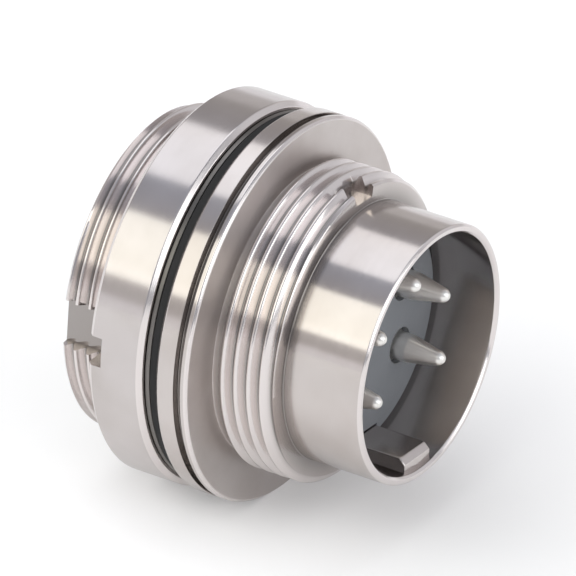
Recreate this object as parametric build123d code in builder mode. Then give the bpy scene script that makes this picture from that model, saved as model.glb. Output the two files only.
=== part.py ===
from build123d import *
import math
import os

os.makedirs("parts", exist_ok=True)

# A panel plug: a round five-pin connector that a ring nut holds in a hole of a panel.
# X runs along the plug's axis towards the mating side. Z is up, with the key of the barrel below.
# The origin is the centre of the flange's rear face, which presses the seal on the panel.

# Coupling thread and barrel, which take the mating connector and its coupling ring
coupling_thread_diameter = 16.0
coupling_thread_length = 3.6
coupling_thread_chamfer = 0.35
thread_pitch = 0.75
relief_width = 0.5
barrel_step = 1.25
barrel_wall = 0.45
barrel_length = 4.4
rim_chamfer = 0.12

# Flange with a turned groove behind its front lip
flange_overhang = 1.5
flange_thickness = 1.85
flange_lip = 0.35
flange_groove_width = 0.4
flange_groove_depth = 0.45
flange_front_chamfer = 0.1
flange_rear_chamfer = 0.2

# Rear thread, which passes through the panel
rear_thread_step = 0.5
rear_thread_length = 6.45
rear_thread_chamfer = 0.3
rear_relief_length = 0.6

# Key rib in the barrel, notch in the coupling thread, keyway along the rear thread
key_width = 2.4
key_height = 0.85
key_setback = 0.35
key_length = 5.4
key_lead = 0.3
notch_width = 1.8
notch_length = 1.2
notch_depth = 0.9
keyway_width = 2.5
keyway_depth = 0.7

# Ring nut as wide as the flange, slip washer and panel seal
nut_length = 3.1
nut_front_chamfer = 0.25
nut_rear_chamfer = 0.25
nut_bore_chamfer = 0.35
nut_running_clearance = 0.05
spanner_slot_width = 1.6
spanner_slot_depth = 0.8
spanner_slot_count = 2
washer_inset = 0.4
washer_thickness = 0.25
washer_clearance = 0.08
seal_inset = 0.4
seal_thickness = 0.5
seal_clearance = 0.1
face_clearance = 0.03

# Insulators, the seal behind the shoulder, and the ring that locks both insulators in the shell
cavity_depth = 3.5
shoulder_position = 1.2
shoulder_height = 0.95
insert_clearance = 0.08
insert_flange_thickness = 1.1
insert_edge_chamfer = 0.25
carrier_seal_thickness = 0.68
carrier_seal_side_clearance = 0.1
carrier_seal_clearance = 0.01
rear_insulator_thickness = 2.0
ring_thickness = 0.8
ring_width = 1.25
ring_groove_depth = 0.3
ring_clearance = 0.05
ring_gap_width = 3.6
ring_ear_diameter = 1.9
ring_ear_hole = 0.8

# Contacts, on a circle with the place above the key left free
contact_circle = 7.0
contact_first_angle = -30.0
contact_spacing = 60.0
contact_count = 5
pin_diameter = 1.45
pin_straight_length = 0.65
pin_taper_length = 1.75
pin_nose_diameter = 0.72
pin_nose_length = 0.2
pin_tip_diameter = 0.34
shank_diameter = 1.85
shank_clearance = 0.03
collar_step = 0.25
collar_thickness = 0.8
cup_wall = 0.275
cup_bore_depth = 3.6
cup_open_length = 1.6
cup_reach = 1.75

# Places along the axis
flange_front = flange_thickness
thread_front = flange_front + coupling_thread_length
rim = thread_front + barrel_length
carrier_face = rim - cavity_depth
groove_front = flange_front - flange_lip
rear_end = -rear_thread_length
seal_rear = -seal_thickness
washer_front = seal_rear - face_clearance
washer_rear = washer_front - washer_thickness
nut_front = washer_rear - face_clearance
nut_rear = nut_front - nut_length
key_front = rim - key_setback
carrier_seal_front = shoulder_position - carrier_seal_clearance
carrier_seal_rear = carrier_seal_front - carrier_seal_thickness
insert_flange_front = carrier_seal_rear - carrier_seal_clearance
carrier_rear = insert_flange_front - insert_flange_thickness
insulator_rear = carrier_rear - rear_insulator_thickness
ring_groove_rear = insulator_rear - ring_thickness - ring_clearance
collar_front = carrier_rear + collar_thickness
taper_start = carrier_face + pin_straight_length
taper_end = taper_start + pin_taper_length
pin_tip = taper_end + pin_nose_length
cup_end = rear_end - cup_reach

# Radii
thread_depth = 0.6134 * thread_pitch
coupling_radius = coupling_thread_diameter / 2
barrel_radius = coupling_radius - barrel_step
bore_radius = barrel_radius - barrel_wall
rear_radius = coupling_radius + rear_thread_step
flange_radius = rear_radius + flange_overhang
nut_radius = flange_radius
nut_bore_radius = rear_radius + nut_running_clearance
washer_radius = nut_radius - washer_inset
washer_bore_radius = rear_radius + washer_clearance
seal_radius = flange_radius - seal_inset
insert_radius = bore_radius + shoulder_height
plug_radius = bore_radius - insert_clearance
insert_flange_radius = insert_radius - insert_clearance
ring_groove_radius = insert_radius + ring_groove_depth
ring_radius = ring_groove_radius - ring_clearance
ring_inner_radius = ring_radius - ring_width
key_tip_radius = bore_radius - key_height
contact_radius = contact_circle / 2
pin_radius = pin_diameter / 2
shank_radius = shank_diameter / 2
collar_radius = shank_radius + collar_step
cup_bore_radius = shank_radius - cup_wall
shank_hole_radius = shank_radius + shank_clearance
collar_hole_radius = collar_radius + shank_clearance
contact_angles = [contact_first_angle + contact_spacing * i for i in range(contact_count)]


def cross_plane(x, y=0.0, z=0.0):
    """The plane square to the axis at x, whose own X and Y run along the part's Y and Z."""
    return Plane(origin=(x, y, z), x_dir=(0, 1, 0), z_dir=(1, 0, 0))


def turned(x_from, x_to, radius_from, radius_to, mode=Mode.ADD):
    """One step of a turned profile: a rectangle between two places on the axis and two radii."""
    with Locations(((x_from + x_to) / 2, (radius_from + radius_to) / 2)):
        Rectangle(x_to - x_from, radius_to - radius_from, mode=mode)


def edges_at(part, x, radius):
    """The circular edges of a turned part at one place on the axis and one radius."""
    circles = part.edges().filter_by(GeomType.CIRCLE)
    return [e for e in circles if abs(e.radius - radius) < 1e-4 and abs(e.arc_center.X - x) < 1e-4]


def contact_circles(radius):
    """A circle of this radius at the place of each contact, in a sketch square to the axis."""
    for angle in contact_angles:
        with PolarLocations(contact_radius, 1, start_angle=angle):
            Circle(radius)


# The shell is turned from one brass bar: barrel, coupling thread, flange and rear thread,
# bored from the front for the mating connector and from the rear for the insulators
with BuildPart() as shell:
    with BuildSketch(Plane.XZ):
        turned(rear_end, 0, 0, rear_radius)
        turned(0, flange_front, 0, flange_radius)
        turned(flange_front, thread_front, 0, coupling_radius)
        turned(thread_front, rim, 0, barrel_radius)
        turned(-rear_relief_length, 0, rear_radius - thread_depth, rear_radius, Mode.SUBTRACT)
        turned(
            flange_front,
            flange_front + relief_width,
            coupling_radius - thread_depth,
            coupling_radius,
            Mode.SUBTRACT,
        )
        turned(
            groove_front - flange_groove_width,
            groove_front,
            flange_radius - flange_groove_depth,
            flange_radius,
            Mode.SUBTRACT,
        )
        turned(shoulder_position, rim, 0, bore_radius, Mode.SUBTRACT)
        turned(rear_end, shoulder_position, 0, insert_radius, Mode.SUBTRACT)
        turned(ring_groove_rear, insulator_rear, insert_radius, ring_groove_radius, Mode.SUBTRACT)
    revolve(axis=Axis.X)
    chamfer(edges_at(shell, rim, barrel_radius), rim_chamfer)
    chamfer(edges_at(shell, rim, bore_radius), rim_chamfer)
    chamfer(edges_at(shell, thread_front, coupling_radius), coupling_thread_chamfer)
    chamfer(edges_at(shell, flange_front, flange_radius), flange_front_chamfer)
    chamfer(edges_at(shell, 0, flange_radius), flange_rear_chamfer)
    chamfer(edges_at(shell, rear_end, rear_radius), rear_thread_chamfer)
    # The key rib stands on the lowest line of the barrel's bore and guides the mating connector
    key_root = (bore_radius + barrel_radius) / 2
    with BuildSketch(cross_plane(key_front)):
        with Locations((0, -(key_tip_radius + key_root) / 2)):
            Rectangle(key_width, key_root - key_tip_radius)
    extrude(amount=-key_length)
    key_lead_edge = shell.edges().filter_by(Axis.Y).filter_by_position(
        Axis.X, key_front - 1e-3, key_front + 1e-3
    ).sort_by(Axis.Z)[-1]
    chamfer(key_lead_edge, key_lead)
    # The notch in the front of the coupling thread marks the top
    with BuildSketch(cross_plane(thread_front)):
        with Locations((0, coupling_radius)):
            Rectangle(notch_width, 2 * notch_depth)
    extrude(amount=-notch_length, mode=Mode.SUBTRACT)
    # The keyway keeps the plug from turning in the panel's hole
    with BuildSketch(cross_plane(rear_end)):
        with Locations((-rear_radius, 0)):
            Rectangle(2 * keyway_depth, keyway_width)
    extrude(amount=rear_thread_length - rear_relief_length, mode=Mode.SUBTRACT)
shell.part.label = "shell"
export_step(shell.part, "parts/shell.step")

# The ring nut has two slots in its rear face for a pin spanner
with BuildPart() as ring_nut:
    with BuildSketch(Plane.XZ):
        turned(nut_rear, nut_front, nut_bore_radius, nut_radius)
    revolve(axis=Axis.X)
    chamfer(edges_at(ring_nut, nut_front, nut_radius), nut_front_chamfer)
    chamfer(edges_at(ring_nut, nut_rear, nut_radius), nut_rear_chamfer)
    chamfer(edges_at(ring_nut, nut_front, nut_bore_radius), nut_bore_chamfer)
    chamfer(edges_at(ring_nut, nut_rear, nut_bore_radius), nut_bore_chamfer)
    with BuildSketch(cross_plane(nut_rear)):
        with PolarLocations((nut_bore_radius + nut_radius) / 2, spanner_slot_count):
            Rectangle(2 * (nut_radius - nut_bore_radius), spanner_slot_width)
    extrude(amount=spanner_slot_depth, mode=Mode.SUBTRACT)
ring_nut.part.label = "ring_nut"
export_step(ring_nut.part, "parts/ring_nut.step")

# The slip washer lets the nut turn without dragging the rubber
with BuildPart() as slip_washer:
    with BuildSketch(cross_plane(washer_rear)):
        Circle(washer_radius)
        Circle(washer_bore_radius, mode=Mode.SUBTRACT)
    extrude(amount=washer_thickness)
slip_washer.part.label = "slip_washer"
export_step(slip_washer.part, "parts/slip_washer.step")

# The panel seal is a flat rubber ring behind the flange, punched from sheet
with BuildPart() as panel_seal:
    with BuildSketch(cross_plane(seal_rear)):
        Circle(seal_radius)
        Circle(rear_radius + seal_clearance, mode=Mode.SUBTRACT)
    extrude(amount=seal_thickness)
panel_seal.part.label = "panel_seal"
export_step(panel_seal.part, "parts/panel_seal.step")

# The contact carrier fills the barrel's bore up to its face, and its flange sits behind the shoulder
with BuildPart() as contact_carrier:
    with BuildSketch(Plane.XZ):
        turned(insert_flange_front, carrier_face, 0, plug_radius)
        turned(carrier_rear, insert_flange_front, 0, insert_flange_radius)
    revolve(axis=Axis.X)
    chamfer(edges_at(contact_carrier, carrier_face, plug_radius), insert_edge_chamfer)
    with BuildSketch(cross_plane(carrier_face)):
        with Locations((0, -plug_radius)):
            Rectangle(key_width + 2 * insert_clearance, 2 * key_height)
    extrude(amount=-(carrier_face - key_front + key_length + insert_clearance), mode=Mode.SUBTRACT)
    with BuildSketch(cross_plane(carrier_rear)):
        contact_circles(shank_hole_radius)
    extrude(amount=carrier_face - carrier_rear, mode=Mode.SUBTRACT)
    with BuildSketch(cross_plane(carrier_rear)):
        contact_circles(collar_hole_radius)
    extrude(amount=collar_thickness, mode=Mode.SUBTRACT)
contact_carrier.part.label = "contact_carrier"
export_step(contact_carrier.part, "parts/contact_carrier.step")

# The carrier seal is a thicker flat ring, gripped between the carrier's flange and the shoulder
with BuildPart() as carrier_seal:
    with BuildSketch(cross_plane(carrier_seal_rear)):
        Circle(insert_radius - carrier_seal_side_clearance)
        Circle(plug_radius + carrier_seal_side_clearance, mode=Mode.SUBTRACT)
    extrude(amount=carrier_seal_thickness)
carrier_seal.part.label = "carrier_seal"
export_step(carrier_seal.part, "parts/carrier_seal.step")

# The rear insulator closes the carrier over the collars of the contacts
with BuildPart() as rear_insulator:
    with BuildSketch(cross_plane(insulator_rear)):
        Circle(insert_flange_radius)
    extrude(amount=rear_insulator_thickness)
    chamfer(edges_at(rear_insulator, insulator_rear, insert_flange_radius), insert_edge_chamfer)
    with BuildSketch(cross_plane(insulator_rear)):
        contact_circles(shank_hole_radius)
    extrude(amount=rear_insulator_thickness, mode=Mode.SUBTRACT)
rear_insulator.part.label = "rear_insulator"
export_step(rear_insulator.part, "parts/rear_insulator.step")

# The retaining ring is an open spring ring with two eared ends for ring pliers
ear_radius = ring_radius - ring_ear_diameter / 2
ear_angle = math.degrees(math.asin((ring_gap_width / 2 + ring_ear_diameter / 2) / ear_radius))
with BuildPart() as retaining_ring:
    with BuildSketch(cross_plane(insulator_rear)):
        Circle(ring_radius)
        Circle(ring_inner_radius, mode=Mode.SUBTRACT)
        with Locations((0, ring_radius)):
            Rectangle(ring_gap_width, 4 * ring_width, mode=Mode.SUBTRACT)
        for side in (-1, 1):
            with PolarLocations(ear_radius, 1, start_angle=90 + side * ear_angle):
                Circle(ring_ear_diameter / 2)
                Circle(ring_ear_hole / 2, mode=Mode.SUBTRACT)
    extrude(amount=-ring_thickness)
retaining_ring.part.label = "retaining_ring"
export_step(retaining_ring.part, "parts/retaining_ring.step")

# Each contact is turned in one piece: tapered pin, collar between the insulators and a straight
# shank that ends in the solder cup, thin enough for the rear insulator to slide over it
for number, angle in enumerate(contact_angles, start=1):
    contact_y = contact_radius * math.cos(math.radians(angle))
    contact_z = contact_radius * math.sin(math.radians(angle))
    outwards = (0, math.cos(math.radians(angle)), math.sin(math.radians(angle)))
    with BuildPart() as contact:
        with BuildSketch(Plane(origin=(0, contact_y, contact_z), x_dir=(1, 0, 0), z_dir=(0, -1, 0))):
            with BuildLine():
                Polyline(
                    (cup_end, 0),
                    (cup_end, shank_radius),
                    (carrier_rear, shank_radius),
                    (carrier_rear, collar_radius),
                    (collar_front, collar_radius),
                    (collar_front, shank_radius),
                    (carrier_face, shank_radius),
                    (carrier_face, pin_radius),
                    (taper_start, pin_radius),
                    (taper_end, pin_nose_diameter / 2),
                    (pin_tip, pin_tip_diameter / 2),
                    (pin_tip, 0),
                    close=True,
                )
            make_face()
        revolve(axis=Axis((0, contact_y, contact_z), (1, 0, 0)))
        with BuildSketch(cross_plane(cup_end, contact_y, contact_z)):
            Circle(cup_bore_radius)
        extrude(amount=cup_bore_depth, mode=Mode.SUBTRACT)
        # The cup's outer side is cut away over its open length, so that the wire lies in it
        cup_plane = Plane(origin=(cup_end, contact_y, contact_z), x_dir=outwards, z_dir=(1, 0, 0))
        with BuildSketch(cup_plane):
            Rectangle(shank_diameter, 2 * shank_diameter, align=(Align.MIN, Align.CENTER))
        extrude(amount=cup_open_length, mode=Mode.SUBTRACT)
    contact.part.label = f"contact_pin_{number}"
    export_step(contact.part, f"parts/contact_pin_{number}.step")
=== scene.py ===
import math

import bmesh
import bpy
import numpy as np
from mathutils import Matrix


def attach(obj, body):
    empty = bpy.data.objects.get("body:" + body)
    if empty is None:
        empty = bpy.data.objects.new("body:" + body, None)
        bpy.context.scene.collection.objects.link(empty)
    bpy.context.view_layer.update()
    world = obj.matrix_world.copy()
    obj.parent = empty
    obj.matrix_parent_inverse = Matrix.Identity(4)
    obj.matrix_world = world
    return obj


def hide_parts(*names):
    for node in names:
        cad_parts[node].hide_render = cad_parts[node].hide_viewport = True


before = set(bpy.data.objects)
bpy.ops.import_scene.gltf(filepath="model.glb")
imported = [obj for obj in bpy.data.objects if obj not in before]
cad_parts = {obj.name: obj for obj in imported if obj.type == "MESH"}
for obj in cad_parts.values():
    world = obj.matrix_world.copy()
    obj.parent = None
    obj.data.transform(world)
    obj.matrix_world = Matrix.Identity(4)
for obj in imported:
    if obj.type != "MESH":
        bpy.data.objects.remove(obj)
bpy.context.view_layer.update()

# The shell. One brass bar turned to a barrel, a coupling thread, a flange with a groove and a rear
# thread, bored from both ends, then nickel plated. A notch marks the top of the coupling thread,
# and a keyway on the left of the rear thread keeps the plug from turning in the panel.
scene = bpy.context.scene
MM = 0.001
pitch, thread_depth = 0.75, 0.46
rim, rim_bevel, barrel_outer, barrel_bore = 9.85, 0.12, 6.75, 6.3
thread_start, thread_front, coupling_crest, coupling_bevel = 2.35, 5.45, 8.0, 0.35
end_face_foot = 7.0
flange_front, flange_outer, flange_front_bevel, flange_rear_bevel = 1.85, 10.0, 0.14, 0.2
groove_rear, groove_front, groove_floor = 1.1, 1.5, 9.55
rear_thread_front, rear_end, rear_crest, rear_bevel = -0.6, -6.45, 8.5, 0.3
shoulder, rear_bore, rear_rim = 1.2, 7.25, 7.7
ring_seat_front, ring_seat_rear, ring_seat_floor = -2.61, -3.46, 7.55
notch_width, notch_back, notch_floor = 1.8, 4.25, 7.1
keyway_width, keyway_floor = 2.5, 7.8
ridge_places = np.array([-0.45, -0.38, -0.25, -0.12, -0.05, 0.05, 0.12, 0.25, 0.38, 0.45])
pair_gap = 0.001


def softened(corners, closed=False):
    """A profile line through corners (x, r, soft), in mm. Each corner P becomes P + soft times
    (a (1 - t)^2 + b t^2), with a and b the directions to its neighbours and t from 0 to 1, and one
    more point at soft + hold from P on each side keeps the straight runs straight when shaded."""
    hold, arc_points = 0.02, 5
    given = np.array(corners, float)
    point, soft = given[:, None, :2], given[:, None, 2:]
    back = np.roll(point, 1, axis=0) - point
    ahead = np.roll(point, -1, axis=0) - point
    back /= np.linalg.norm(back, axis=2, keepdims=True)
    ahead /= np.linalg.norm(ahead, axis=2, keepdims=True)
    t = np.linspace(0, 1, arc_points)[None, :, None]
    arc = point + soft * (back * (1 - t) ** 2 + ahead * t**2)
    line = np.concatenate([point + back * (soft + hold), arc, point + ahead * (soft + hold)], axis=1)
    if closed:
        return line.reshape(-1, 2)
    return np.vstack([given[:1, :2], line[1:-1].reshape(-1, 2), given[-1:, :2]])


def columns(*cuts, count=288):
    """Angles round the axis, evenly spaced, with a close pair of lines at each side of every cut,
    given as (middle, half width), so that the cut's walls stand upright."""
    kept_clear = 0.004
    even = np.arange(count) * 2 * np.pi / count
    lines = [
        middle + side * (half - inset)
        for middle, half in cuts for side in (-1, 1) for inset in (0, pair_gap)
    ]
    lines = np.array(lines) % (2 * np.pi)
    if len(lines):
        even = even[np.abs(even[:, None] - lines).min(axis=1) > kept_clear]
    return np.sort(np.concatenate([even, lines]))


def inside_cut(angle, middle, half):
    """Which columns lie in a cut: those whose angle from its middle is under its half width, less
    half the gap of a pair of lines. The second result is that angle."""
    off = (angle - middle + np.pi) % (2 * np.pi) - np.pi
    return np.abs(off) < half - pair_gap / 2, off


def plain(profile, angle):
    """Rows of an even turned surface: each profile point (x, r) at every angle. Each row meets
    itself at the seam."""
    ones = np.ones(len(angle))
    return profile[:, :1] * ones, profile[:, 1:] * ones, 0


def ridge(x, angle, crest, depth):
    """Radius of a right-handed thread: the phase is x / pitch - angle / one turn, taken from the
    nearest crest, and the flank falls from the crest's flat to the root's flat with rounded ends."""
    phase = (x / pitch - angle / (2 * np.pi) + 0.5) % 1 - 0.5
    fall_starts = [0, 0.05, 0.12, 0.25, 0.38, 0.45, 0.5]
    fallen = [0, 0, 0.12, 0.5, 0.88, 1, 1]
    return crest - depth * np.interp(np.abs(phase), fall_starts, fallen)


def threaded(x_from, x_to, angle):
    """Rows that run along the thread's own helix: row i is at its place plus pitch times angle over
    one turn, held between the thread's two ends. After one turn a row meets the row that lies as
    many rows on as one ridge has places. A few spare rows at the ends fall together there."""
    spare = 0.15
    laps = np.arange(math.floor(x_from / pitch) - 1, math.ceil(x_to / pitch) + 1)
    row = (laps[:, None] + ridge_places).ravel() * pitch
    row = row[(row > x_from - (1 + spare) * pitch) & (row < x_to + spare * pitch)]
    return np.clip(row[:, None] + pitch * angle / (2 * np.pi), x_from, x_to)


def mesh_of(name, points, faces):
    """A mesh object from points in mm and faces: doubles merged, normals outward, smooth shading
    with edges over 50 degrees kept sharp."""
    same_place, sharp_over = 2e-7, math.radians(50)
    mesh = bpy.data.meshes.new(name)
    mesh.from_pydata((points * MM).tolist(), [], faces)
    grown = bmesh.new()
    grown.from_mesh(mesh)
    bmesh.ops.remove_doubles(grown, verts=grown.verts, dist=same_place)
    bmesh.ops.dissolve_degenerate(grown, edges=grown.edges, dist=same_place)
    bmesh.ops.recalc_face_normals(grown, faces=grown.faces)
    grown.to_mesh(mesh)
    grown.free()
    mesh.shade_smooth()
    mesh.set_sharp_from_angle(angle=sharp_over)
    piece = bpy.data.objects.new(name, mesh)
    scene.collection.objects.link(piece)
    return piece


def round_grid(blocks, angle, closed=True, centre=(0.0, 0.0)):
    """Points and faces of a surface round the X axis. Rows of (x, r) go to (x, r cos angle,
    r sin angle) moved to the centre. Each block is its rows' x, their r and how many rows further
    on a row is met at the seam, as a thread's rows are."""
    x = np.vstack([rows_x for rows_x, _, _ in blocks])
    r = np.vstack([rows_r for _, rows_r, _ in blocks])
    points = np.stack([x, centre[0] + r * np.cos(angle), centre[1] + r * np.sin(angle)], axis=-1)
    index = np.arange(x.size).reshape(x.shape)
    starts = np.cumsum([0] + [len(rows_x) for rows_x, _, _ in blocks])
    meets = [
        np.minimum(np.arange(start, end) + further, end - 1)
        for start, end, (_, _, further) in zip(starts[:-1], starts[1:], blocks)
    ]
    index = np.hstack([index, index[np.concatenate(meets), :1]])
    if closed:
        index = np.vstack([index, index[:1]])
    quads = np.stack([index[:-1, :-1], index[:-1, 1:], index[1:, 1:], index[1:, :-1]], axis=-1)
    return points.reshape(-1, 3), quads.reshape(-1, 4).tolist()


def joined(*surfaces):
    """Several sets of points and faces as one set, each later set's indices moved up."""
    starts = np.cumsum([0] + [len(points) for points, _ in surfaces])
    faces = [
        [corner + start for corner in face]
        for start, (_, own_faces) in zip(starts, surfaces) for face in own_faces
    ]
    return np.vstack([points for points, _ in surfaces]), faces


def lofted(rings):
    """Points and faces through rings of equally many points, with both ends closed."""
    count, around = rings.shape[:2]
    index = np.arange(count * around).reshape(count, around)
    index = np.hstack([index, index[:, :1]])
    quads = np.stack([index[:-1, :-1], index[:-1, 1:], index[1:, 1:], index[1:, :-1]], axis=-1)
    ends = [index[0, :-1].tolist(), index[-1, :-1].tolist()]
    return rings.reshape(-1, 3), quads.reshape(-1, 4).tolist() + ends


notch_half = math.asin(notch_width / 2 / coupling_crest)
keyway_half = math.asin(keyway_width / 2 / rear_crest)
angle = columns((math.pi / 2, notch_half), (math.pi, keyway_half))
in_notch, off_notch = inside_cut(angle, math.pi / 2, notch_half)
in_keyway, off_keyway = inside_cut(angle, math.pi, keyway_half)

rear_x = threaded(rear_end, rear_thread_front, angle)
rear_r = ridge(rear_x, angle, rear_crest, thread_depth)
rear_r = np.minimum(rear_r, rear_crest - rear_bevel + (rear_x - rear_end))
rear_r = np.where(in_keyway, np.minimum(rear_r, keyway_floor / np.cos(off_keyway)), rear_r)

# The rows on both sides of the notch's rear wall are moved onto it, so that it stands upright
front_x = threaded(thread_start, thread_front, angle)
cut_away = in_notch & (front_x >= notch_back)
first_cut = cut_away & ~np.roll(cut_away, 1, axis=0)
front_x = np.where(first_cut | np.roll(first_cut, -1, axis=0), notch_back, front_x)
front_r = ridge(front_x, angle, coupling_crest, thread_depth)
front_r = np.minimum(front_r, coupling_crest - coupling_bevel + (thread_front - front_x))
front_r = np.where(cut_away, np.minimum(front_r, notch_floor / np.cos(off_notch)), front_r)

flange_line = softened([
    (rear_thread_front, rear_crest - thread_depth, 0), (0, rear_crest - thread_depth, 0.03),
    (0, flange_outer - flange_rear_bevel, 0.03), (flange_rear_bevel, flange_outer, 0.04),
    (groove_rear, flange_outer, 0.03), (groove_rear, groove_floor, 0.05),
    (groove_front, groove_floor, 0.05), (groove_front, flange_outer, 0.03),
    (flange_front - flange_front_bevel, flange_outer, 0.04),
    (flange_front, flange_outer - flange_front_bevel, 0.04),
    (flange_front, coupling_crest - thread_depth, 0.06),
    (thread_start, coupling_crest - thread_depth, 0),
])
barrel_line = softened([
    (thread_front, end_face_foot, 0), (thread_front, barrel_outer, 0.07),
    (rim - rim_bevel, barrel_outer, 0.03), (rim, barrel_outer - rim_bevel, 0.03),
    (rim, barrel_bore + rim_bevel, 0.03), (rim - rim_bevel, barrel_bore, 0.03),
    (shoulder, barrel_bore, 0.04), (shoulder, rear_bore, 0.04),
    (ring_seat_front, rear_bore, 0.03), (ring_seat_front, ring_seat_floor, 0.03),
    (ring_seat_rear, ring_seat_floor, 0.03), (ring_seat_rear, rear_bore, 0.03),
    (rear_end, rear_bore, 0.05), (rear_end, rear_rim, 0),
])
body_surface = round_grid(
    [
        (rear_x, rear_r, len(ridge_places)),
        plain(flange_line, angle),
        (front_x, front_r, len(ridge_places)),
        plain(barrel_line, angle),
    ],
    angle,
)

# The shell's key rib: a rounded bar along the bottom of the bore, left standing when the barrel was
# broached, with its front end led in, so that the mating plug finds it.
key_tip, key_root, key_half_width = -5.45, -6.52, 1.2
key_front, key_length = 9.5, 5.4
key_section = softened(
    [
        (-key_half_width, key_root, 0.05), (-key_half_width, key_tip, 0.1),
        (key_half_width, key_tip, 0.1), (key_half_width, key_root, 0.05),
    ],
    closed=True,
)
from_front = np.array([key_length, 0.36, 0.3, 0.24, 0.04, 0])[:, None]
key_drop = np.array([0, 0, 0.02, 0.07, 0.27, 0.35])[:, None]
height_left = 1 - key_drop / (key_tip - key_root)
key_x = key_front - from_front
key_rings = np.stack(
    [
        key_x * np.ones(len(key_section)),
        np.ones(len(key_x))[:, None] * key_section[:, 0],
        key_root + (key_section[:, 1] - key_root) * height_left,
    ],
    axis=-1,
)
shell = mesh_of("plug_shell", *joined(body_surface, lofted(key_rings)))


def new_material(name):
    """A new material, its node tree and its shader."""
    made = bpy.data.materials.new(name)
    made.use_nodes = True
    tree = made.node_tree
    return made, tree, tree.nodes["Principled BSDF"]


def feed(tree, target, inputs):
    """Feeds a node's inputs by name or number: another node's output is linked, and anything else
    is set as the value, a colour with its alpha."""
    for name, value in inputs.items():
        socket = target.inputs[name]
        if isinstance(value, bpy.types.NodeSocket):
            tree.links.new(value, socket)
        else:
            socket.default_value = (*value, 1) if socket.type == "RGBA" else value


def node(tree, kind, inputs, **settings):
    """A new node of this kind, with its settings made and then its inputs fed."""
    target = tree.nodes.new(kind)
    for name, value in settings.items():
        setattr(target, name, value)
    feed(tree, target, inputs)
    return target


def mixed(tree, share, first, second):
    """The colour that lies between two by this share, each given as a colour or an output."""
    inputs = {"Factor": share, "A": first, "B": second}
    return node(tree, "ShaderNodeMix", inputs, data_type="RGBA").outputs["Result"]


def turning_marks(tree, fineness, strength):
    """Fine rings round the X axis, from noise over (x, distance from the axis). The results are
    the place, the noise and a bump made of it."""
    ring_depth = 4e-6
    place = node(tree, "ShaderNodeTexCoord", {}).outputs["Object"]
    split = node(tree, "ShaderNodeSeparateXYZ", {0: place}).outputs
    across = node(tree, "ShaderNodeCombineXYZ", {"Y": split["Y"], "Z": split["Z"]})
    radius = node(tree, "ShaderNodeVectorMath", {0: across.outputs[0]}, operation="LENGTH")
    ring = node(tree, "ShaderNodeCombineXYZ", {"X": split["X"], "Y": radius.outputs["Value"]})
    noise = node(
        tree, "ShaderNodeTexNoise",
        {"Vector": ring.outputs[0], "Scale": fineness, "Detail": 3, "Roughness": 0.6},
        noise_dimensions="2D",
    ).outputs[0]
    bump_inputs = {"Height": noise, "Strength": strength, "Distance": ring_depth}
    return place, noise, node(tree, "ShaderNodeBump", bump_inputs).outputs[0]


def mark(piece, name, value_at):
    """Stores an attribute on every point: value_at of its x and its distance from the axis in mm,
    held between 0 and 1."""
    where = np.empty(len(piece.data.vertices) * 3, np.float32)
    piece.data.vertices.foreach_get("co", where)
    x, y, z = where.reshape(-1, 3).T / MM
    stored = piece.data.attributes.new(name, "FLOAT", "POINT")
    stored.data.foreach_set("value", np.clip(value_at(x, np.hypot(y, z)), 0, 1).astype(np.float32))


def plated(
    name, colour, worn_colour, roughness,
    fineness=14000, strength=0.12, painted_shade_colour=None, painted_highlight_colour=None,
):
    """Plated, turned metal: rings from the tool in its bump and roughness, which also draw its
    highlights out, and clouds of tarnish that mix two colours. Where a shade colour is given, three
    stored marks mix in that colour as painted shade and the other given colour as painted highlight,
    and make the surface rougher."""
    smoother, rougher, coarse_rise = 0.05, 0.07, 0.2
    made, tree, shader = new_material(name)
    place, rings, bump = turning_marks(tree, fineness, strength)
    clouds = node(tree, "ShaderNodeTexNoise", {"Vector": place, "Scale": 260, "Detail": 4})
    tarnish = {"Value": clouds.outputs[0], "From Min": 0.4, "From Max": 0.75}
    share = node(tree, "ShaderNodeMapRange", tarnish).outputs[0]
    tint = mixed(tree, share, colour, worn_colour)
    grooved = {"Value": rings, "To Min": roughness - smoother, "To Max": roughness + rougher}
    rough = node(tree, "ShaderNodeMapRange", grooved).outputs[0]
    if painted_shade_colour:
        painted_shade, painted_highlight, coarse = [
            node(tree, "ShaderNodeAttribute", {}, attribute_name=kept).outputs["Fac"]
            for kept in ("painted_shade", "painted_highlight", "coarse")
        ]
        # Painted shade and then painted highlight, mixed into the metal's colour by the stored marks
        tint = mixed(tree, painted_shade, tint, painted_shade_colour)
        tint = mixed(tree, painted_highlight, tint, painted_highlight_colour)
        coarser = {0: coarse, 1: coarse_rise, 2: rough}
        rough = node(tree, "ShaderNodeMath", coarser, operation="MULTIPLY_ADD").outputs[0]
    around = node(tree, "ShaderNodeTangent", {}, direction_type="RADIAL", axis="X")
    feed(tree, shader, {
        "Base Color": tint,
        "Roughness": rough,
        "Normal": bump,
        "Tangent": around.outputs[0],
        "Anisotropic": 0.7,
        "Anisotropic Rotation": 0.25,
        "Metallic": 1.0,
    })
    return made


# Limits of the marks in mm: two margins at edges, the reach below a crest and the fade at a root
hair, slack, ridge_reach, root_fade = 0.001, 0.02, 0.5, 0.1


def on_threads(x, r):
    """Which points lie on the two threads, the notch and the keyway left out."""
    on_coupling = (x > thread_start - slack) & (x < thread_front - hair)
    on_rear = x < rear_thread_front + slack
    near_crest = np.where(on_coupling, coupling_crest, rear_crest) - ridge_reach
    return (on_coupling | on_rear) & (r > near_crest)


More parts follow.
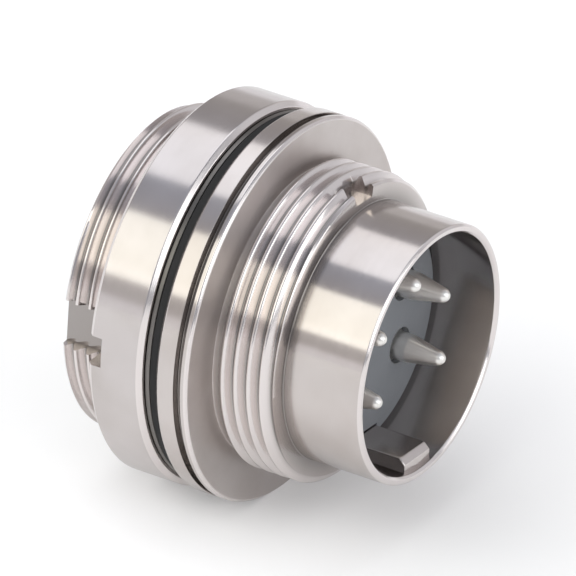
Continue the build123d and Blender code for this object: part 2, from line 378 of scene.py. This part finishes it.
def shell_painted_shade(x, r):
    """How much painted shade a point of the shell gets: 0.8 in the roots of the threads and on the
    floor of the flange's groove, 0.6 in the keyway, and rising to nearly 0.8 in the corner where the
    thread's end face meets the barrel."""
    most, keyway_share = 0.8, 0.6
    root_below, margin, groove_fade = 0.37, 0.05, 0.5
    keyway_rise, keyway_spread = 0.03, 0.1
    corner_top, corner_fade, corner_length = 7.6, 1.1, 0.08
    below = np.where(x > 0, coupling_crest, rear_crest) - r
    root = np.where(on_threads(x, r), np.clip((below - root_below) / root_fade, 0, most), 0)
    at_floor = np.abs(r - keyway_floor - keyway_rise) < keyway_spread
    keyway = np.where((x < rear_thread_front) & at_floor, keyway_share, 0)
    in_groove = (x > groove_rear - margin) & (x < groove_front + margin)
    in_groove &= r > groove_floor - margin
    groove = np.where(in_groove, (flange_outer - margin - r) / groove_fade, 0)
    in_corner = (x > thread_front - hair) & (x < thread_front + corner_length)
    in_corner &= r > barrel_outer - margin
    corner = np.where(in_corner, (corner_top - r) / corner_fade, 0)
    return np.max([root, keyway, groove, corner], axis=0)


def shell_coarseness(x, r):
    """How coarse the tool's marks are: 1 on the flange's front face and on the neck in front of
    it, 0 elsewhere."""
    behind, short_of, edge_width = 0.05, 0.01, 0.1
    faced = (x > flange_front - behind) & (x < thread_start - short_of)
    return faced & (r > coupling_crest - ridge_reach) & (r < flange_outer - edge_width)


def shell_painted_highlight(x, r):
    """How much painted highlight a point of the shell gets: 1 on the ridges of the threads, down to 0
    in their roots, and 1 on the rim and on the flange's edges."""
    below = np.where(x > 0, coupling_crest, rear_crest) - r
    past_front, past_rear, past_face, inward = 0.04, 0.015, 0.01, 0.03
    front_edge = x > flange_front - flange_front_bevel - past_front
    front_edge &= x < flange_front + past_face
    rear_edge = x < flange_rear_bevel + past_rear
    at_edge = (front_edge | rear_edge) & (r > flange_outer - flange_front_bevel - inward)
    at_rim = x > rim - rim_bevel - past_face
    return np.where(on_threads(x, r), (thread_depth - below) / root_fade, at_edge | at_rim)


# The shell's marks: painted shade in its recesses, its coarsely turned faces, and painted highlight on
# its ridges and edges
mark(shell, "painted_shade", shell_painted_shade)
mark(shell, "coarse", shell_coarseness)
mark(shell, "painted_highlight", shell_painted_highlight)
# A dark colour for the painted shade and a pale one for the painted highlights
painted_shade_tone, painted_highlight_tone = (0.21, 0.195, 0.185), (0.78, 0.73, 0.715)
nickel = plated(
    "turned_nickel", colour=(0.63, 0.585, 0.565), worn_colour=(0.55, 0.5, 0.475),
    roughness=0.17, painted_shade_colour=painted_shade_tone, painted_highlight_colour=painted_highlight_tone,
)
shell.data.materials.append(nickel)
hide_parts("shell")
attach(shell, "plug")

# The ring nut. Turned from brass and nickel plated, with a bevel at each end, a threaded bore
# and two slots in its rear face for a pin spanner. It screws along the rear thread.
nut_front, nut_rear, nut_outer, nut_bevel = -0.81, -3.91, 10.0, 0.25
nut_bore, nut_thread_depth = 8.55, 0.35
slot_width, slot_depth = 1.6, 0.8
slot_floor, slot_half = nut_rear + slot_depth, math.asin(slot_width / 2 / nut_outer)
bore_rear, bore_front = nut_rear + nut_thread_depth, nut_front - nut_thread_depth
nut_angle = columns((0, slot_half), (math.pi, slot_half))
nut_line = softened([
    (bore_rear, nut_bore, 0), (nut_rear, nut_bore + nut_thread_depth, 0.04),
    (nut_rear, nut_outer - nut_bevel, 0.04), (nut_rear + nut_bevel, nut_outer, 0.04),
    (nut_front - nut_bevel, nut_outer, 0.06), (nut_front, nut_outer - nut_bevel, 0.05),
    (nut_front, nut_bore + nut_thread_depth, 0.04), (bore_front, nut_bore, 0),
])
bore_x = threaded(bore_rear, bore_front, nut_angle)[::-1]
bore_r = ridge(bore_x, nut_angle, nut_bore + nut_thread_depth, nut_thread_depth)
nut_x, nut_r, _ = plain(nut_line, nut_angle)
in_slot = inside_cut(nut_angle, 0, slot_half)[0] | inside_cut(nut_angle, math.pi, slot_half)[0]
nut_x = np.where(in_slot, np.maximum(nut_x, slot_floor), nut_x)
bore_x = np.where(in_slot, np.maximum(bore_x, slot_floor), bore_x)
nut = mesh_of(
    "ring_nut_turned",
    *round_grid([(nut_x, nut_r, 0), (bore_x, bore_r, -len(ridge_places))], nut_angle),
)


def nut_painted_highlight(x, r):
    """How much painted highlight the nut gets: 1 on its two outer bevels, 0 elsewhere."""
    along, inward = 0.02, 0.01
    near_end = (x > nut_front - nut_bevel - along) | (x < nut_rear + nut_bevel + along)
    return (r > nut_outer - nut_bevel - inward) & near_end


# Painted highlight on the nut's two outer bevels
mark(nut, "painted_highlight", nut_painted_highlight)
nut_nickel = plated(
    "nut_nickel", colour=(0.62, 0.58, 0.57), worn_colour=(0.54, 0.5, 0.48), roughness=0.18,
    fineness=11000, painted_shade_colour=painted_shade_tone, painted_highlight_colour=painted_highlight_tone,
)
nut.data.materials.append(nut_nickel)
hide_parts("ring_nut")
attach(nut, "nut")


# The slip washer. A thin stamped and plated ring with rolled edges, which lies between the nut
# and the rubber seal so that the nut doesn't drag the rubber.
def flat_ring(name, rear, front, bore, outer, bore_soft, outer_soft):
    """A ring of rectangular section between two places on the axis and two radii, in mm, its edges
    softened more or less at the bore and at the outside."""
    section = softened(
        [
            (rear, bore, bore_soft), (rear, outer, outer_soft),
            (front, outer, outer_soft), (front, bore, bore_soft),
        ],
        closed=True,
    )
    ring_angle = columns()
    return mesh_of(name, *round_grid([plain(section, ring_angle)], ring_angle))


washer = flat_ring(
    "slip_washer_stamped", rear=-0.78, front=-0.53, bore=8.58, outer=9.6,
    bore_soft=0.05, outer_soft=0.05,
)
# The washer's plating is given a dark colour: painted shade, as it lies sunk between the nut and the
# flange
stamped = plated(
    "washer_nickel_painted_shade", colour=(0.22, 0.21, 0.2), worn_colour=(0.17, 0.16, 0.15), roughness=0.38,
    fineness=6000, strength=0.2,
)
washer.data.materials.append(stamped)
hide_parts("slip_washer")
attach(washer, "washer")


# The panel seal. A flat ring of black rubber, punched from sheet, that lies against the rear of the
# flange and is pressed on the panel.
def matt(name, colour, paler, roughness, grain, strength, gloss=0.4):
    """A matt surface: a fine grain in the bump and the roughness, and clouds twelve times as
    coarse that mix two near colours."""
    cloud_size, grain_depth, spread = 12, 1e-5, 0.06
    made, tree, shader = new_material(name)
    place = node(tree, "ShaderNodeTexCoord", {}).outputs["Object"]
    fine = node(tree, "ShaderNodeTexNoise", {"Vector": place, "Scale": grain, "Detail": 4}).outputs[0]
    clouds = node(tree, "ShaderNodeTexNoise", {"Vector": place, "Scale": grain / cloud_size}).outputs[0]
    grainy = {"Value": fine, "To Min": roughness - spread, "To Max": roughness + spread}
    relief = {"Height": fine, "Strength": strength, "Distance": grain_depth}
    feed(tree, shader, {
        "Base Color": mixed(tree, clouds, colour, paler),
        "Roughness": node(tree, "ShaderNodeMapRange", grainy).outputs[0],
        "Normal": node(tree, "ShaderNodeBump", relief).outputs[0],
        "Specular IOR Level": gloss,
    })
    return made


seal = flat_ring(
    "panel_seal_ring", rear=-0.5, front=0, bore=8.6, outer=9.6, bore_soft=0.03, outer_soft=0.06
)
rubber = matt(
    "black_rubber", colour=(0.012, 0.012, 0.013), paler=(0.022, 0.022, 0.023), roughness=0.62,
    grain=9000, strength=0.3, gloss=0.25,
)
seal.data.materials.append(rubber)
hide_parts("panel_seal")
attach(seal, "plug")

# The contact carrier and the rear insulator. Two moulded glass-filled plastic discs with stepped
# holes that hold the contacts between them, and a rubber ring that seals the carrier in the shell.
moulded = matt(
    "moulded_insulator", colour=(0.18, 0.19, 0.205), paler=(0.205, 0.215, 0.232),
    roughness=0.5, grain=7000, strength=0.25,
)
for part in ("contact_carrier", "rear_insulator"):
    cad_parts[part].material_slots[0].material = moulded
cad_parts["carrier_seal"].material_slots[0].material = rubber

# The retaining ring. Stamped spring steel with two eared ends, phosphated dark grey, sprung into a
# groove of the rear bore. The phosphate's crystals show as a fine mottling.
phosphated, tree, shader = new_material("phosphated_steel")
place = node(tree, "ShaderNodeTexCoord", {}).outputs["Object"]
crystals = node(tree, "ShaderNodeTexNoise", {"Vector": place, "Scale": 5000, "Detail": 5}).outputs[0]
relief = {"Height": crystals, "Strength": 0.25, "Distance": 6e-6}
feed(tree, shader, {
    "Base Color": mixed(tree, crystals, (0.1, 0.1, 0.105), (0.24, 0.24, 0.25)),
    "Normal": node(tree, "ShaderNodeBump", relief).outputs[0],
    "Metallic": 1.0,
    "Roughness": 0.45,
})
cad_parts["retaining_ring"].material_slots[0].material = phosphated

# The five contacts. Turned from brass and silver plated: a tapered pin, a collar between the two
# insulators and a straight shank bored as a solder cup, open on its outer side.
pin_tip, taper_start, pin_radius = 8.95, 7.0, 0.725
tip_flat, nose_length, nose_radius = 0.17, 0.2, 0.36
shank_front, shank_radius = 6.0, 0.925
collar_front, collar_rear, collar_radius = 0.19, -0.61, 1.175
cup_end, cup_floor, cup_bore, cup_opening, drill_point = -8.2, -4.6, 0.65, 1.6, 0.25
contact_circle, contact_angles = 3.5, (-30, 30, 90, 150, 210)
pin_line = softened([
    (pin_tip, 0, 0), (pin_tip, tip_flat, 0.08), (pin_tip - nose_length, nose_radius, 0.12),
    (taper_start, pin_radius, 0.05), (shank_front, pin_radius, 0.02),
    (shank_front, shank_radius, 0.03), (collar_front, shank_radius, 0.03),
    (collar_front, collar_radius, 0.04), (collar_rear, collar_radius, 0.04),
    (collar_rear, shank_radius, 0.03), (cup_end, shank_radius, 0.04), (cup_end, cup_bore, 0.04),
    (cup_floor, cup_bore, 0.03), (cup_floor + drill_point, 0, 0),
])
silver = plated(
    "contact_silver", colour=(0.94, 0.92, 0.89), worn_colour=(0.87, 0.85, 0.81), roughness=0.3,
    fineness=16000,
)
for number, contact_angle in enumerate(contact_angles, start=1):
    outward = math.radians(contact_angle)
    open_side = (outward % (2 * math.pi), math.pi / 2 + pair_gap)
    pin_angle = columns(open_side, count=48)
    pin_x, pin_r, _ = plain(pin_line, pin_angle)
    cup_side = inside_cut(pin_angle, *open_side)[0]
    pin_x = np.where(cup_side, np.maximum(pin_x, cup_end + cup_opening), pin_x)
    centre = (contact_circle * math.cos(outward), contact_circle * math.sin(outward))
    pin = mesh_of(
        f"contact_{number}",
        *round_grid([(pin_x, pin_r, 0)], pin_angle, closed=False, centre=centre),
    )
    pin.data.materials.append(silver)
    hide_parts(f"contact_pin_{number}")
    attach(pin, "plug")

# The studio floor: a pale board that the rings rest on. It glows a little where the camera sees it,
# and less where metal mirrors it, so that it runs into the white surround and keeps the shadow.
floor_half, direct_glow, mirrored_glow = 300.0, 0.16, 0.06
floor_corners = np.array([(-1, -1), (1, -1), (1, 1), (-1, 1)]) * floor_half
floor_points = np.column_stack([floor_corners, np.full(4, -flange_outer)]) * MM
floor_mesh = bpy.data.meshes.new("floor")
floor_mesh.from_pydata(floor_points.tolist(), [], [(0, 1, 2, 3)])
floor = bpy.data.objects.new("floor", floor_mesh)
scene.collection.objects.link(floor)
pale_board, tree, shader = new_material("pale_floor")
seen = node(tree, "ShaderNodeLightPath", {}).outputs
mirror_rays = {0: seen["Is Glossy Ray"], 1: seen["Is Transmission Ray"]}
mirrored = node(tree, "ShaderNodeMath", mirror_rays, operation="MAXIMUM").outputs[0]
direct = {0: seen["Is Camera Ray"], 1: direct_glow}
glow = node(tree, "ShaderNodeMath", direct, operation="MULTIPLY").outputs[0]
both = {0: mirrored, 1: mirrored_glow, 2: glow}
feed(tree, shader, {
    "Base Color": (0.84, 0.84, 0.85),
    "Roughness": 0.9,
    "Specular IOR Level": 0.1,
    "Emission Color": (1, 1, 1),
    "Emission Strength": node(tree, "ShaderNodeMath", both, operation="MULTIPLY_ADD").outputs[0],
})
floor_mesh.materials.append(pale_board)


# The surround: white for the camera. Metal mirrors a grey room in it, paler towards the floor and
# ahead on the far side, and all other surfaces get a soft light that comes mostly from the left.
def eased(tree, value, low, high):
    """0 below low and 1 above high, with a smooth rise between them."""
    inputs = {"Value": value, "From Min": low, "From Max": high}
    return node(tree, "ShaderNodeMapRange", inputs, interpolation_type="SMOOTHSTEP").outputs[0]


world = bpy.data.worlds.new("studio")
scene.world = world
world.use_nodes = True
sky = world.node_tree
direction = node(sky, "ShaderNodeTexCoord", {}).outputs["Generated"]
way = node(sky, "ShaderNodeSeparateXYZ", {0: direction}).outputs
wall = node(sky, "ShaderNodeValToRGB", {"Fac": way["Z"]})
wall_tones = wall.color_ramp.elements
wall_tones[0].position, wall_tones[0].color = 0.05, (0.98, 0.97, 1, 1)
wall_tones[1].position, wall_tones[1].color = 0.1, (0.58, 0.56, 0.55, 1)
higher_tones = [
    (0.33, (0.64, 0.62, 0.62)), (0.38, (0.42, 0.4, 0.39)),
    (0.72, (0.42, 0.41, 0.43)), (0.9, (0.44, 0.47, 0.55)),
]
for height, tone in higher_tones:
    wall_tones.new(height).color = (*tone, 1)
far_side = eased(sky, way["Y"], low=0.2, high=0.7)
ahead = mixed(sky, far_side, (0.34, 0.35, 0.38), (0.68, 0.68, 0.71))
room = mixed(sky, eased(sky, way["X"], low=-0.1, high=0.5), wall.outputs[0], ahead)
brightest_way = {0: direction, 1: (-0.35, -0.9, 0.25)}
lean = node(sky, "ShaderNodeVectorMath", brightest_way, operation="DOT_PRODUCT")
leftward = lean.outputs["Value"]
to_left = eased(sky, leftward, low=-0.5, high=1)
soft_light = mixed(sky, to_left, (0.12, 0.12, 0.13), (1.4, 1.4, 1.42))
seen = node(sky, "ShaderNodeLightPath", {}).outputs
unseen = mixed(sky, seen["Is Glossy Ray"], soft_light, room)
feed(sky, sky.nodes["Background"], {"Color": mixed(sky, seen["Is Camera Ray"], unseen, (1, 1, 1))})


# Three soft boxes: one overhead and a warmer one to the left of the camera, whose edges draw the
# bands along the metal, and one ahead of the mating side, which lights the flanks of the thread.
def soft_box(name, middle, width_way, width, height, strength, colour):
    """An area lamp with its middle at a place in m, its width along one direction and its height
    square to that, facing the plug. Strength is its brightness as a mirror shows it."""
    middle = np.array(middle, float)
    wide = np.array(width_way, float)
    back = middle - wide * (middle @ wide)
    back /= np.linalg.norm(back)
    lamp = bpy.data.lights.new(name, "AREA")
    lamp.shape = "RECTANGLE"
    lamp.size, lamp.size_y = width, height
    lamp.energy = strength * math.pi * width * height
    lamp.color = colour
    holder = bpy.data.objects.new(name, lamp)
    scene.collection.objects.link(holder)
    holder.matrix_world = Matrix.Translation(middle) @ Matrix(
        np.column_stack([wide, np.cross(back, wide), back]).tolist()
    ).to_4x4()
    holder.visible_camera = False


def side_box(name, turn, across, behind, ahead, strength, colour):
    """A soft box 0.5 m from the plug's axis, turned that many degrees round it. Seen from the plug
    it reaches that many degrees across, and so many behind and ahead along the axis."""
    reach = 0.5
    turn, across = math.radians(turn), math.radians(across)
    x_from, x_to = -reach * math.tan(math.radians(behind)), reach * math.tan(math.radians(ahead))
    middle = ((x_from + x_to) / 2, reach * math.cos(turn), reach * math.sin(turn))
    height = 2 * reach * math.tan(across / 2)
    soft_box(name, middle, (1, 0, 0), x_to - x_from, height, strength, colour)


side_box(
    "overhead_box", turn=79, across=43, behind=42, ahead=12,
    strength=0.94, colour=(0.98, 0.985, 0.985),
)
side_box(
    "left_box", turn=144, across=38, behind=66, ahead=15, strength=1.2, colour=(0.99, 1, 0.9)
)
soft_box(
    "front_box", middle=(0.46, 0, 0.17), width_way=(0, 1, 0), width=0.54, height=0.3,
    strength=1.7, colour=(0.97, 0.99, 1),
)

# The camera: a long lens on the mating side, above the plug and a little turned, as the photo was
# taken. Its aim puts the middle of the rim to the right of and below the middle of the picture.
azimuth, elevation, roll = math.radians(30), math.radians(26.6), math.radians(3.8)
distance, frame_width = 600.0, 28.44
rim_to_right, rim_down = 7.047, 3.338
back = np.array([
    math.sin(azimuth) * math.cos(elevation),
    -math.cos(azimuth) * math.cos(elevation),
    math.sin(elevation),
])
level_right = np.array([math.cos(azimuth), math.sin(azimuth), 0])
level_up = np.cross(back, level_right)
right = level_right * math.cos(roll) + level_up * math.sin(roll)
up = level_up * math.cos(roll) - level_right * math.sin(roll)
aim = np.array([rim, 0, 0]) - rim_to_right * right + rim_down * up
camera_data = bpy.data.cameras.new("camera")
camera_data.lens = camera_data.sensor_width * distance / frame_width
camera_data.clip_start, camera_data.clip_end = 0.05, 10
camera = bpy.data.objects.new("camera", camera_data)
scene.collection.objects.link(camera)
camera.matrix_world = Matrix.Translation((aim + back * distance) * MM) @ Matrix(
    np.column_stack([right, up, back]).tolist()
).to_4x4()
scene.camera = camera
scene.view_settings.view_transform = "Standard"
